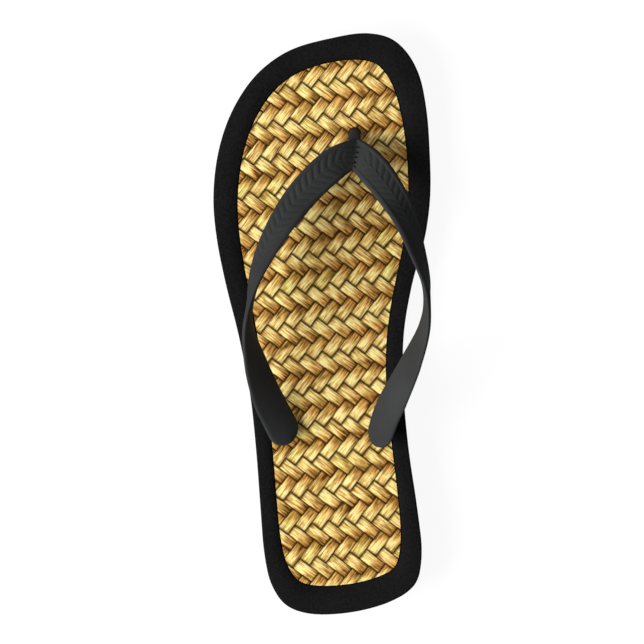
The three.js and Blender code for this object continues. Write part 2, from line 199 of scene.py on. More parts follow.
print("outline of", FINE_STEPS, "points, moved by", np.round(SHIFT, 5))


# %% [markdown]
# ## Meshes from stacked rings
#
# The sole and the top sheet are both a stack of such rings with a skin over them. Extruding a face and
# bevelling it would also work, but rings give the drafted side, the soft edges and the pocket in one go,
# and the number of faces stays known. The ends are closed by quads that run straight across the foot.

# %% Skin over rings
def mesh_object(name, points, faces):
    mesh = bpy.data.meshes.new(name)
    mesh.from_pydata([tuple(p) for p in points], [], faces)
    mesh.validate()
    mesh.update()
    made = bpy.data.objects.new(name, mesh)
    bpy.context.scene.collection.objects.link(made)
    return made


def wall_faces(levels, count):
    faces = []
    for level in range(levels - 1):
        for k in range(count):
            a = level * count + k
            b = level * count + (k + 1) % count
            faces.append((a, b, b + count, a + count))
    return faces


def across_faces(base, count):
    """Faces from side to side, for a ring that is long and bends only along the foot."""
    faces = []
    for k in range(count // 2):
        corners = (k, k + 1, count - k - 1, (count - k) % count)
        faces.append(tuple(base + c for c in dict.fromkeys(corners)))
    return [face for face in faces if len(face) > 2]


def foot_shape(name, rings):
    count = len(rings[0])
    faces = wall_faces(len(rings), count)
    faces += [face[::-1] for face in across_faces(0, count)]
    faces += across_faces((len(rings) - 1) * count, count)
    return mesh_object(name, np.vstack(rings), faces)


CUT_LOW = -20 * MM
CUT_HIGH = 50 * MM


def bar(name, x, y, radius, high=CUT_HIGH, sides=48):
    """An upright round bar, by default long enough to cut through every layer."""
    angles = np.arange(sides) / sides * 2 * math.pi
    circle = np.column_stack([x + radius * np.cos(angles), y + radius * np.sin(angles)])
    points = np.vstack([np.column_stack([circle, np.full(sides, z)]) for z in (CUT_LOW, high)])
    ends = [tuple(range(sides))[::-1], tuple(range(sides, 2 * sides))]
    return mesh_object(name, points, wall_faces(2, sides) + ends)


# %% [markdown]
# ## Cutting and joining
#
# Booleans cut the holes, the plug seats and the mat's outline. A live modifier would be worked out again at
# every change, so each one is turned into a plain mesh at once. A cut along a slant leaves crumbs of a
# millimetre or two, which no real shoe has, and they are cleared away.

# %% Plain meshes from modifiers
def finished_mesh(made):
    """The object's modifiers worked out into its mesh, and removed."""
    shown = made.evaluated_get(bpy.context.evaluated_depsgraph_get())
    mesh = bpy.data.meshes.new_from_object(shown)
    made.modifiers.clear()
    old = made.data
    made.data = mesh
    bpy.data.meshes.remove(old)
    mesh.name = made.name


def combine(body, others, operation):
    """Cuts, joins or crosses body with each of the others, which are used up."""
    for other in others:
        step = body.modifiers.new("combine", "BOOLEAN")
        step.operation = operation
        step.solver = "MANIFOLD"
        step.object = other
    finished_mesh(body)
    for other in others:
        bpy.data.objects.remove(other)


# %% Crumbs and shading
CRUMB_SIZE = 2.4 * MM


def clear_crumbs(made, bends=False):
    """Removes what a cut can leave: small bits, and with bends also points that hang on two edges."""
    mesh = bmesh.new()
    mesh.from_mesh(made.data)
    if bends:
        bmesh.ops.dissolve_verts(mesh, verts=[vert for vert in mesh.verts if len(vert.link_edges) == 2])
    waiting = set(mesh.verts)
    crumbs = []
    for start in list(mesh.verts):
        if start not in waiting:
            continue
        waiting.remove(start)
        island = [start]
        for vert in island:
            near = {edge.other_vert(vert) for edge in vert.link_edges} & waiting
            waiting -= near
            island += near
        if np.ptp([vert.co for vert in island], axis=0).max() < CRUMB_SIZE:
            crumbs += island
    bmesh.ops.delete(mesh, geom=crumbs, context="VERTS")
    mesh.to_mesh(made.data)
    mesh.free()
    print(made.name, "lost", len(crumbs), "points of crumbs")


def smooth_faces(made, angle):
    made.data.shade_smooth()
    made.data.set_sharp_from_angle(angle=math.radians(angle))


def dress(made, material):
    """One material all over, in place of the empty slots that a cut leaves."""
    made.data.materials.clear()
    made.data.materials.append(material)


# %% [markdown]
# ## The path of the strap
#
# Two bands start at a crease over the toe post, rise over the instep and come down to a round tab on each
# side. Each band is a ribbon: a table gives the middle of its lower edge, its height over the footbed, how
# far its outer face rolls to the outside, and its width. A curve object with tilt could hold that too, but
# the roll passes 90 degrees here, and a frame worked out at each step stays steady through it.
#
# Both bands begin with the same upright section, which leans a little to the lateral side at its heel end.
# Both sink towards it, so that a sharp valley parts the lit face from the dark one.

# %% Table of the strap's bands
STRAP_WIDTH = 15.4 * MM
STRAP_THICKNESS = 3.6 * MM
INSTEP_RISE = 28 * MM
CREASE_LENGTH = 14 * MM
CREASE_SINK = 4 * MM
CREASE_LEAN = math.radians(-8.5)
SINK_LENGTH = 18 * MM

# x and y as shares of the ball's width and the length, rise as a share, roll in degrees, width as a share.
CREASE = (0.1505, 0.7915, 0.34, 20, 1.11)
LATERAL_BAND = np.array([
    CREASE,
    (0.061, 0.7758, 0.5, 4, 1.04),
    (-0.069, 0.7305, 0.61, 16, 1.03),
    (-0.187, 0.6705, 0.73, 40, 1.05),
    (-0.273, 0.6075, 0.88, 58, 1.0),
    (-0.322, 0.546, 0.99, 84, 0.98),
    (-0.335, 0.489, 0.93, 106, 1.01),
    (-0.303, 0.43, 0.68, 131, 1.07),
    (-0.251, 0.374, 0.3, 146, 1.14),
    (-0.214, 0.346, 0.12, 150, 1.14),
    (-0.178, 0.319, 0.04, 152, 1.13),
])
MEDIAL_BAND = np.array([
    CREASE,
    (0.21, 0.7755, 0.5, 4, 1.06),
    (0.292, 0.7373, 0.61, 16, 1.02),
    (0.3735, 0.6845, 0.73, 42, 1.01),
    (0.438, 0.6185, 0.88, 62, 0.98),
    (0.478, 0.557, 0.99, 85, 0.98),
    (0.469, 0.496, 0.93, 106, 1.0),
    (0.41, 0.434, 0.68, 128, 1.05),
    (0.33, 0.37, 0.28, 141, 1.11),
    (0.295, 0.342, 0.12, 141, 1.1),
    (0.271, 0.315, 0.04, 140, 1.06),
])


# %% Steady frames along a band
def band_frames(rows, outward, shares):
    """Middle, way along, way across, outer face's normal, width and distance from the crease."""
    y = rows[:, 1] * SOLE_LENGTH
    path = np.column_stack([rows[:, 0] * BALL_WIDTH, y, top_height(y) + rows[:, 2] * INSTEP_RISE])
    edge = through(path, shares)
    roll, width = through(rows[:, 3:], shares, even=True).T
    away = np.linalg.norm(edge - path[0], axis=1)
    own = smoothstep(0, CREASE_LENGTH, away)[:, None]
    level = np.array([math.cos(CREASE_LEAN), math.sin(CREASE_LEAN), 0]) * outward
    along = unit((1 - own) * level + own * unit(direction(path, shares)))
    out = unit(np.column_stack([-along[:, 1], along[:, 0], 0 * own[:, 0]]) * outward)
    lift = np.cross(along, out) * outward
    turn = np.radians(roll)[:, None]
    across = out * np.cos(turn) - lift * np.sin(turn)
    face = lift * np.cos(turn) + out * np.sin(turn)
    width = width * STRAP_WIDTH
    depth = width / 2 * abs(across[:, 2]) + STRAP_THICKNESS / 2 * abs(face[:, 2])
    depth = depth - CREASE_SINK * np.clip(1 - away / SINK_LENGTH, 0, 1) ** 2
    at = edge + depth[:, None] * [0, 0, 1] + [*SHIFT, 0]
    run = np.concatenate([[0], np.cumsum(np.linalg.norm(np.diff(at, axis=0), axis=1))])
    return {"at": at, "along": along, "across": across, "face": face, "width": width, "run": run}


# %% Post and stems in plan
POST_RADIUS = 2.7 * MM
POST_LEAN = 10.2 * MM
STEM_RADIUS = 3.2 * MM
PLUG_RADIUS = 8 * MM
PLUG_FLOOR_CLEARANCE = 0.8 * MM
ends = {"lateral": band_frames(LATERAL_BAND, -1, [0, 1]), "medial": band_frames(MEDIAL_BAND, 1, [0, 1])}
crease_at = ends["medial"]["at"][0]
fixings = [
    (crease_at[0], crease_at[1] + POST_LEAN, POST_RADIUS),
    (*ends["lateral"]["at"][1][:2], STEM_RADIUS),
    (*ends["medial"]["at"][1][:2], STEM_RADIUS),
]


def from_heel(y):
    return y - SHIFT[1]


def plug_low(y):
    return float(floor_height(from_heel(y) + PLUG_RADIUS)) + PLUG_FLOOR_CLEARANCE


def stem_holes(name):
    return [bar(f"{name}_{k}", x, y, radius + GAP) for k, (x, y, radius) in enumerate(fixings)]


print("toe post at", np.round(fixings[0][:2], 4), "side stems at", np.round(fixings[1][:2], 4),
      np.round(fixings[2][:2], 4))

# %% [markdown]
# ## Node trees written as sums
#
# Materials and Geometry Nodes both need long sums. Adding every Math node by hand hides what they say, so
# one small class wraps a socket: a plus or a minus between two of them adds the node. Everything else comes
# from one method that takes a node's type, its settings and what its sockets get.

# %% Sums on sockets
class Signal:
    """What one socket gives. Arithmetic on it adds Math nodes."""

    def __init__(self, board, socket):
        self.board = board
        self.socket = socket

    def math(self, operation, *others):
        return self.board.node("ShaderNodeMath", {"operation": operation}, dict(enumerate((self, *others))))

    def __add__(self, other):
        return self.math("ADD", other)

    def __sub__(self, other):
        return self.math("SUBTRACT", other)

    def __rsub__(self, other):
        return self.board.node("ShaderNodeMath", {"operation": "SUBTRACT"}, {0: other, 1: self})

    def __mul__(self, other):
        return self.math("MULTIPLY", other)

    def __truediv__(self, other):
        return self.math("DIVIDE", other)

    __radd__ = __add__
    __rmul__ = __mul__

    def part(self, name):
        return Signal(self.board, self.socket.node.outputs[name])

    def eased(self, low, high, start=0.0, end=1.0):
        settings = {"interpolation_type": "SMOOTHSTEP"}
        inputs = {0: self, 1: low, 2: high, 3: start, 4: end}
        return self.board.node("ShaderNodeMapRange", settings, inputs)


class Board:
    """A node tree, and the one way that nodes are added to it."""

    def __init__(self, tree):
        self.tree = tree

    def feed(self, socket, value):
        if isinstance(value, Signal):
            self.tree.links.new(value.socket, socket)
        else:
            socket.default_value = value

    def node(self, kind, settings=None, inputs=None, output=0):
        node = self.tree.nodes.new(kind)
        for name, value in (settings or {}).items():
            if name == "stops":
                self.set_stops(node.color_ramp, value)
            else:
                setattr(node, name, value)
        for key, value in (inputs or {}).items():
            self.feed(node.inputs[key], value)
        return Signal(self, node.outputs[output])

    def set_stops(self, ramp, stops):
        while len(ramp.elements) < len(stops):
            ramp.elements.new(1.0)
        for element, (place, colour) in zip(ramp.elements, stops):
            element.position = place
            element.color = colour

    def join(self, x, y, z):
        return self.node("ShaderNodeCombineXYZ", {}, {0: x, 1: y, 2: z})

    def mix(self, share, first, second, blend="MIX"):
        settings = {"data_type": "RGBA", "blend_type": blend}
        return self.node("ShaderNodeMix", settings, {0: share, 6: first, 7: second}, output=2)


# %% A Geometry Nodes tree with named inputs
class Recipe(Board):
    """A Geometry Nodes tree. given() adds named inputs, and run() makes the mesh."""

    def __init__(self, name):
        super().__init__(bpy.data.node_groups.new(name, "GeometryNodeTree"))
        self.name = name
        self.inside = self.tree.nodes.new("NodeGroupInput")
        self.tree.interface.new_socket("Geometry", in_out="INPUT", socket_type="NodeSocketGeometry")

    def given(self, kind, *names):
        for name in names:
            self.tree.interface.new_socket(name, in_out="INPUT", socket_type=f"NodeSocket{kind}")
        return [Signal(self, self.inside.outputs[name]) for name in names]

    def sweep(self, start, end, points, bend, section):
        """A straight line in a number of points, bent by an offset, with a section swept along it."""
        line = self.node("GeometryNodeCurvePrimitiveLine", {}, {"Start": start, "End": end})
        line = self.node("GeometryNodeResampleCurve", {}, {"Curve": line, "Count": points})
        line = self.node("GeometryNodeSetPosition", {}, {"Geometry": line, "Offset": bend})
        inputs = {"Curve": line, "Profile Curve": section, "Fill Caps": True}
        return self.node("GeometryNodeCurveToMesh", {}, inputs)

    def rows(self, shape, count, start, step):
        """Copies of a shape in a row, as real meshes."""
        inputs = {"Count": count, "Start Location": start, "Offset": step}
        places = self.node("GeometryNodeMeshLine", {}, inputs)
        copies = self.node("GeometryNodeInstanceOnPoints", {}, {"Points": places, "Instance": shape})
        return self.node("GeometryNodeRealizeInstances", {}, {0: copies})

    def finish(self, shape, material):
        """Keeps what lies inside the object's own mesh, and ends the tree."""
        cut = self.node("GeometryNodeMeshBoolean", {"operation": "INTERSECT", "solver": "MANIFOLD"})
        for mesh in (shape, Signal(self, self.inside.outputs["Geometry"])):
            self.feed(cut.socket.node.inputs["Mesh 2"], mesh)
        real = self.node("GeometryNodeRealizeInstances", {}, {0: cut})
        dressed = self.node("GeometryNodeSetMaterial", {}, {"Geometry": real, "Material": material})
        self.tree.interface.new_socket("Made", in_out="OUTPUT", socket_type="NodeSocketGeometry")
        self.feed(self.tree.nodes.new("NodeGroupOutput").inputs[0], dressed)

    def run(self, made, values):
        modifier = made.modifiers.new(self.name, "NODES")
        modifier.node_group = self.tree
        sockets = {item.name: item.identifier for item in self.tree.interface.items_tree}
        for name, value in values.items():
            modifier[sockets[name]] = value
        finished_mesh(made)
        print(made.name, "has", len(made.data.polygons), "faces from", self.name)


# %% [markdown]
# ## Black foam
#
# The sole is cut from closed-cell foam rubber. It is matt and nearly black, with cut cells as a fine
# pitting and a slightly uneven tone. Pits are much too small for geometry, so a bump carries them. The
# pattern reads Object coordinates, which need no unwrapping and stay put when the shoe moves. A noise's
# scale counts its waves per metre.

# %% The foam's finish
PIT_SIZE = 0.7 * MM
PIT_DEPTH = 0.1 * MM


class Finish(Board):
    """A material with one Principled shader."""

    def __init__(self, name, specular):
        self.material = bpy.data.materials.new(name)
        self.material.use_nodes = True
        super().__init__(self.material.node_tree)
        self.set("Specular IOR Level", specular)

    def set(self, name, value):
        self.feed(self.tree.nodes["Principled BSDF"].inputs[name], value)

    def place(self):
        return self.node("ShaderNodeTexCoord", output="Object")

    def noise(self, vector, scale, detail=2.0, roughness=0.5):
        inputs = {"Vector": vector, "Scale": scale, "Detail": detail, "Roughness": roughness}
        return self.node("ShaderNodeTexNoise", {}, inputs)

    def relief(self, height, distance, strength):
        inputs = {"Strength": strength, "Distance": distance, "Height": height}
        self.set("Normal", self.node("ShaderNodeBump", {}, inputs))


def foam_finish():
    foam = Finish("sole foam", specular=0.2)
    place = foam.place()
    pits = foam.node("ShaderNodeTexVoronoi", {}, {"Vector": place, "Scale": 1 / PIT_SIZE})
    cloud = foam.noise(place, 60, detail=3)
    speckle = foam.noise(place, 2200, detail=2)
    tone = (cloud * 0.6 + speckle * 0.6 - 0.1).eased(0.2, 0.8)
    foam.set("Base Color", foam.mix(tone, (0.007, 0.007, 0.0075, 1), (0.014, 0.014, 0.0145, 1)))
    foam.set("Roughness", 0.78 + (speckle - 0.5) * 0.2)
    foam.relief(pits + speckle * 0.8, PIT_DEPTH, 0.6)
    return foam.material


sole_foam = foam_finish()

# %% [markdown]
# ## The sole
#
# One thick slab: drafted sides, a soft lower edge, a small groove under the top sheet, and round seats for
# the plugs underneath. Its tread is hidden in use. A shallow recess with a flat border holds zigzag ribs,
# which is how such soles usually grip.

# %% Slab with seats
SOLE_DRAFT = 1.6 * MM
SEAM_DEPTH = 0.8 * MM
SEAM_SIDE = SEAM_DEPTH * 0.4
SEAM_RISE = SEAM_DEPTH * 0.35
FLOOR_EDGE_RADIUS = 1.2 * MM
TREAD_BORDER = 4.6 * MM
TREAD_DEPTH = 1.2 * MM
BELOW_FLOOR = 5 * MM
BOSS_RADIUS = 10.2 * MM
PLUG_THICKNESS = 3 * MM
quarter = np.radians(np.linspace(0, 90, 5))


def sole_top(y):
    return top_height(y) - TOP_SHEET_THICKNESS - GAP


def lower_edge(angle):
    inset = SOLE_DRAFT + FLOOR_EDGE_RADIUS * (1 - math.sin(angle))
    return ring(lambda rim: inset, lambda y: floor_height(y) + FLOOR_EDGE_RADIUS * (1 - math.cos(angle)))


def side_ring(share):
    def side_height(y):
        return (1 - share) * (floor_height(y) + FLOOR_EDGE_RADIUS) + share * (sole_top(y) - SEAM_DEPTH)

    return ring(lambda rim: SOLE_DRAFT * (1 - share), side_height)


slab = foot_shape("sole_slab", [
    *[lower_edge(angle) for angle in quarter],
    *[side_ring(share) for share in (0.35, 0.7, 1)],
    ring(lambda rim: SEAM_SIDE, lambda y: sole_top(y) - SEAM_RISE),
    ring(lambda rim: SEAM_DEPTH, sole_top),
])
recess = foot_shape("recess", [
    ring(lambda rim: TREAD_BORDER, lambda y: floor_height(y) - BELOW_FLOOR),
    ring(lambda rim: TREAD_BORDER, lambda y: floor_height(y) + TREAD_DEPTH),
])
bosses = [bar(f"boss_{k}", x, y, BOSS_RADIUS) for k, (x, y, _) in enumerate(fixings)]
combine(recess, bosses, "DIFFERENCE")
tread_panel = recess.copy()
tread_panel.data = recess.data.copy()
bpy.context.scene.collection.objects.link(tread_panel)
seats = [bar(f"seat_{k}", x, y, PLUG_RADIUS + GAP, high=plug_low(y) + PLUG_THICKNESS + GAP)
         for k, (x, y, _) in enumerate(fixings)]
combine(slab, [recess, *seats, *stem_holes("sole_hole")], "DIFFERENCE")
dress(slab, sole_foam)
smooth_faces(slab, 50)
print("slab:", len(slab.data.polygons), "faces")

# %% [markdown]
# The ribs repeat along the foot, so Geometry Nodes make them: one zigzag line swept with a small section,
# a copy of it at every step from heel to toe, all of it bent up with the toe and cut off at the recess.

# %% Zigzag ribs
def toe_rise(reach, spring):
    """What floor_height gives, as nodes, for a share of the length."""
    past = ((reach - SPRING_START) / (1 - SPRING_START)).math("MAXIMUM", 0.0)
    return past * past * spring


def tread_recipe():
    recipe = Recipe("zigzag ribs")
    spacing, period, swing, width, height = recipe.given(
        "Float", "Spacing", "Zigzag Period", "Zigzag Swing", "Rib Width", "Rib Height")
    reach, length, spring = recipe.given("Float", "Reach", "Sole Length", "Toe Spring")
    count, points = recipe.given("Int", "Rib Count", "Points")
    [material] = recipe.given("Material", "Material")

    x = recipe.node("ShaderNodeSeparateXYZ", {}, {0: recipe.node("GeometryNodeInputPosition")})
    zigzag = (x / period).math("PINGPONG", 0.5) * 2 * swing
    section = recipe.node("GeometryNodeCurvePrimitiveQuadrilateral", {}, {"Width": width, "Height": height})
    rib = recipe.sweep(recipe.join(reach * -1, 0, 0), recipe.join(reach, 0, 0), points,
                       recipe.join(0, zigzag, 0), section)
    ribs = recipe.rows(rib, count, recipe.join(0, length * -0.5, 0), recipe.join(0, spacing, 0))
    lift = toe_rise(x.part("Y") / length + 0.5, spring) + height * 0.5
    ribs = recipe.node("GeometryNodeSetPosition", {}, {"Geometry": ribs, "Offset": recipe.join(0, 0, lift)})
    recipe.finish(ribs, material)
    return recipe


tread_panel.name = "sole_tread"
tread_recipe().run(tread_panel, {
    "Spacing": 5.2 * MM, "Zigzag Period": 7.5 * MM, "Zigzag Swing": 3.4 * MM, "Rib Width": 2 * MM,
    "Rib Height": TREAD_DEPTH, "Reach": 60 * MM, "Rib Count": 56, "Points": 65,
    "Sole Length": SOLE_LENGTH, "Toe Spring": TOE_SPRING, "Material": sole_foam,
})
clear_crumbs(tread_panel)

# %% [markdown]
# ## The top sheet
#
# Only its rim shows, as a bare black border with a fine cloth-like grain and softly rounded edges. The mat
# lies in the pocket. Rings again, so that the rim keeps the varying width of the real one. The pocket's
# corners are rounded by a few rounds of averaging, because the inner line of a rim turns sharper than the
# outline does.

# %% Sheet with a pocket
TOP_EDGE_RADIUS = 1 * MM
POCKET_DEPTH = 1.7 * MM
POCKET_EDGE = 0.25 * MM
MAT_ROUNDING = 4


def sheet_bottom(y):
    return top_height(y) - TOP_SHEET_THICKNESS


def upper_edge(angle):
    inset = TOP_EDGE_RADIUS * (1 - math.cos(angle))
    return ring(lambda rim: inset, lambda y: top_height(y) - TOP_EDGE_RADIUS * (1 - math.sin(angle)))


sheet = foot_shape("footbed_sheet", [
    ring(lambda rim: SEAM_DEPTH, sheet_bottom),
    ring(lambda rim: SEAM_SIDE, lambda y: sheet_bottom(y) + SEAM_RISE),
    ring(lambda rim: 0, lambda y: sheet_bottom(y) + SEAM_DEPTH),
    *[upper_edge(angle) for angle in quarter],
    ring(lambda rim: rim * 0.5, top_height),
    ring(lambda rim: rim - POCKET_EDGE, top_height, MAT_ROUNDING),
    ring(lambda rim: rim, lambda y: top_height(y) - POCKET_EDGE, MAT_ROUNDING),
    ring(lambda rim: rim, lambda y: top_height(y) - POCKET_DEPTH, MAT_ROUNDING),
])
combine(sheet, stem_holes("sheet_hole"), "DIFFERENCE")


# %% The top sheet's finish
def sheet_finish():
    cloth = Finish("black top sheet", specular=0.12)
    place = cloth.place()
    grain = cloth.noise(place, 900, detail=4, roughness=0.7)
    cloud = cloth.noise(place, 45, detail=3)
    tone = (grain * 1.4 + cloud * 0.4 - 0.4).eased(0.2, 0.8)
    cloth.set("Base Color", cloth.mix(tone, (0.0015, 0.0015, 0.0018, 1), (0.0085, 0.0085, 0.009, 1)))
    cloth.set("Roughness", 0.75 + grain * 0.2)
    cloth.relief(grain, 0.4 * MM, 0.8)
    return cloth.material


dress(sheet, sheet_finish())
smooth_faces(sheet, 50)
print("sheet:", len(sheet.data.polygons), "faces")

# %% [markdown]
# ## Straw
#
# Each strip is a flat, split stalk, gold to cream with long dark fibres. Its colour also carries painted
# light:
# a painted highlight near the start of each stretch that lies on top, and painted shade, browner, towards the
# end where it goes under. A noise stretched along the strip gives the fibres, and every stretch that lies on
# top gets its own tone. The same sums that place the weave say which strip and which stretch a point is on.
#
# Painted shade darkens the line between two strips, most where one dives under the other. Twins that lie side
# by side touch, so the painted line between them is faint. Gloss from a hair-thin gap would be grey, so the
# gloss is tinted too.

# %% The straw's finish
STRIP_WIDTH = 5.74 * MM
WEAVE_TURN = math.radians(-37.1)
WEAVE_REPEAT = 4
GLOSS_TINT = (1.0, 0.78, 0.36, 1)
# the colour of the painted shade between strips and at the ends that go under
PAINTED_SHADE_COLOUR = (0.04, 0.016, 0.003, 1)
weave_start = np.array([-0.1213 * BALL_WIDTH, 0.2565 * SOLE_LENGTH]) + SHIFT


def straw_finish(name, turn, step, seed):
    straw = Finish(name, specular=0.2)
    straw.set("Specular Tint", GLOSS_TINT)
    cosine, sine = math.cos(turn), math.sin(turn)
    moved = (-(cosine * weave_start[0] + sine * weave_start[1]) / STRIP_WIDTH,
             -(-sine * weave_start[0] + cosine * weave_start[1]) / STRIP_WIDTH, 0)
    inputs = {"Vector": straw.place(), "Location": moved, "Rotation": (0, 0, -turn),
              "Scale": (1 / STRIP_WIDTH,) * 3}
    cells = straw.node("ShaderNodeMapping", {"vector_type": "POINT"}, inputs)
    along = straw.node("ShaderNodeSeparateXYZ", {}, {0: cells})
    lateral = along.part("Y")
    strip = lateral.math("FLOOR")
    across = lateral - strip - 0.5
    turns = (along + strip * step) / WEAVE_REPEAT
    stretch = turns.math("FLOOR")
    run = (turns - stretch) * 2
    chance = straw.node("ShaderNodeTexWhiteNoise", {"noise_dimensions": "3D"},
                        {"Vector": straw.join(strip, stretch, seed)}, output="Color")
    first = straw.node("ShaderNodeSeparateXYZ", {}, {0: chance})
    second = first.part("Y")
    third = first.part("Z")

    def streaks(lengthwise, crosswise, draw, **texture):
        place = straw.join(along * lengthwise, lateral * crosswise, draw * 40 + strip)
        return straw.noise(place, 1.0, **texture)

    fibres = streaks(0.9, 9.0, first, detail=3, roughness=0.6)
    hairs = streaks(0.7, 16.0, third, detail=1)
    bands = streaks(0.6, 3.2, second, detail=2)
    blotch = streaks(1.5, 1.9, third, detail=2)
    # painted highlight: the colour is lighter near the start of each stretch, where light would catch its
    # crown
    painted_highlight = run.eased(0.0, 0.32) * run.eased(0.85, 0.3)
    # painted shade: the colour darkens towards the far end of each stretch, the end turned from the light
    painted_far_shade = run.eased(0.35, 1.0)
    tone = (fibres.eased(0.36, 0.64) - 0.5) * 0.52 + (bands - 0.5) * 1.0 + (blotch - 0.5) * 0.8
    tone = tone + 0.63 + (first - 0.5) * 0.16 - painted_far_shade * 0.22 + painted_highlight * 0.24 - hairs.eased(0.55, 0.66) * 0.3
    stops = [(0.0, (0.085, 0.034, 0.005, 1)), (0.22, (0.28, 0.142, 0.030, 1)), (0.48, (0.53, 0.31, 0.078, 1)),
             (0.74, (0.79, 0.545, 0.17, 1)), (1.0, (1.0, 0.85, 0.35, 1))]
    colour = straw.node("ShaderNodeValToRGB", {"stops": stops}, {0: tone})
    green = second.eased(0.8, 0.98, 0.0, 0.45)
    colour = straw.mix(green, colour, straw.mix(1.0, colour, (0.84, 1.0, 0.75, 1), "MULTIPLY"))
    # a warm, darker tint: random blotches of tone, plus painted shade that grows towards the far end of each
    # stretch
    warm_blotch_and_far_shade = (blotch.eased(0.35, 0.65) + 0.25) * run.eased(0.3, 0.9) * 0.75
    colour = straw.mix(warm_blotch_and_far_shade, colour, straw.mix(1.0, colour, (0.9, 0.64, 0.46, 1), "MULTIPLY"))
    # painted shade: the sides and the ends of each stretch are darkened, as shadow from neighbouring and
    # crossing strips
    # twin is 1 on the half of a side that touches a twin, and 0 where the crossing strip comes up
    twin = (across * (run - 0.5) * -step).eased(-0.01, 0.01)
    side = across.math("ABSOLUTE").eased(0.36, 0.47) * (1 - twin * 0.5)
    painted_tip_shadow = 1 - run.eased(0.0, 0.13) * run.eased(1.0, 0.91)
    shade = side.math("MAXIMUM", painted_tip_shadow) * 0.95
    colour = straw.mix(shade, colour, PAINTED_SHADE_COLOUR)
    straw.set("Base Color", colour)
    straw.set("Roughness", 0.62 - fibres * 0.25)
    straw.relief(fibres - hairs.eased(0.56, 0.7) * 0.4 + bands * 0.6, 0.25 * MM, 0.7)
    return straw.material


# %% [markdown]
# ## The mat
#
# The strips cross at right angles and pass two over and two under. A painted pattern on a flat sheet would
# be quick, but it stays flat in raking light. Real strips are no harder: Geometry Nodes sweep a flattened
# section along one straight strip, lay copies side by side, and let each rise and dip by its own place in
# the weave. The panel that fits the pocket then cuts all of them off along the rim.

# %% Straight strips
def squashed(coordinate, power):
    """A coordinate of a round section, pushed outwards: the lower the power, the squarer the section."""
    return coordinate.math("SIGN") * coordinate.math("ABSOLUTE").math("POWER", power)


def straight_strips(recipe, x, pitch):
    first_cell, cells, first_strip = recipe.given("Float", "First Cell", "Cells", "First Strip")
    strip_count, points, sides = recipe.given("Int", "Strip Count", "Points", "Sides")
    share, thickness = recipe.given("Float", "Width Share", "Thickness")
    section = recipe.node("GeometryNodeCurvePrimitiveCircle", {}, {"Resolution": sides, "Radius": 1.0})
    wide = squashed(x, 0.5) * pitch * share * 0.5
    thick = squashed(x.part("Y"), 0.9) * thickness * 0.5
    inputs = {"Geometry": section, "Position": recipe.join(wide, thick, 0)}
    section = recipe.node("GeometryNodeSetPosition", {}, inputs)
    start = recipe.join(first_cell * pitch, 0, 0)
    end = recipe.join((first_cell + cells) * pitch, 0, 0)
    strip = recipe.sweep(start, end, points, (0, 0, 0), section)
    first = recipe.join(0, (first_strip + 0.5) * pitch, 0)
    return recipe.rows(strip, strip_count, first, recipe.join(0, pitch, 0))


# %% Woven strips
DRIFT_WAVES = 0.35
DRIFT_JUMP = 7.3


def strips_recipe():
    recipe = Recipe("woven strips")
    pitch, pinch, lift, steep, sink = recipe.given("Float", "Pitch", "Pinch", "Lift", "Steepness", "Sink")
    turn, step, wander, seed = recipe.given("Float", "Turn", "Step", "Wander", "Seed")
    length, heel, forefoot, spring = recipe.given(
        "Float", "Sole Length", "Heel Height", "Forefoot Height", "Toe Spring")
    [start] = recipe.given("Vector", "Start")
    [material] = recipe.given("Material", "Material")

    x = recipe.node("ShaderNodeSeparateXYZ", {}, {0: recipe.node("GeometryNodeInputPosition")})
    strips = straight_strips(recipe, x, pitch)
    y = x.part("Y")
    z = x.part("Z")
    number = (y / pitch).math("FLOOR")
    side = y - (number + 0.5) * pitch
    turns = (x / pitch + number * step) / WEAVE_REPEAT
    wave = (turns * 2 * math.pi).math("SINE").eased(steep * -1, steep, -1.0, 1.0)
    squeeze = 1 - pinch * (1 - wave * wave)
    drift = recipe.node("ShaderNodeTexNoise", {"noise_dimensions": "2D"},
                        {"Vector": recipe.join(x / pitch * DRIFT_WAVES, number * DRIFT_JUMP + seed, 0),
                         "Scale": 1.0})
    flat = recipe.join(x, (number + 0.5) * pitch + side * squeeze + (drift - 0.5) * wander, 0)
    turned = recipe.node("ShaderNodeVectorRotate", {"rotation_type": "Z_AXIS"},
                         {"Vector": flat, "Center": (0, 0, 0), "Angle": turn})
    laid = recipe.node("ShaderNodeVectorMath", {"operation": "ADD"}, {0: turned, 1: start})
    laid_x = recipe.node("ShaderNodeSeparateXYZ", {}, {0: laid})
    laid_y = laid_x.part("Y")
    reach = laid_y / length + 0.5
    footbed = toe_rise(reach, spring) + reach.eased(WEDGE_START, WEDGE_END, heel, forefoot)
    high = footbed - sink + z + wave * lift
    strips = recipe.node("GeometryNodeSetPosition", {},
                         {"Geometry": strips, "Position": recipe.join(laid_x, laid_y, high)})
    recipe.finish(strips, material)
    return recipe


weaving = strips_recipe()


# %% Two sets of strips
MAT_EDGE_GAP = 0.5 * MM
PANEL_HIGH = 60 * MM
MAT_REACH_X = 0.45 * BALL_WIDTH
MAT_REACH_Y = 0.47 * SOLE_LENGTH
POINTS_PER_CELL = 8


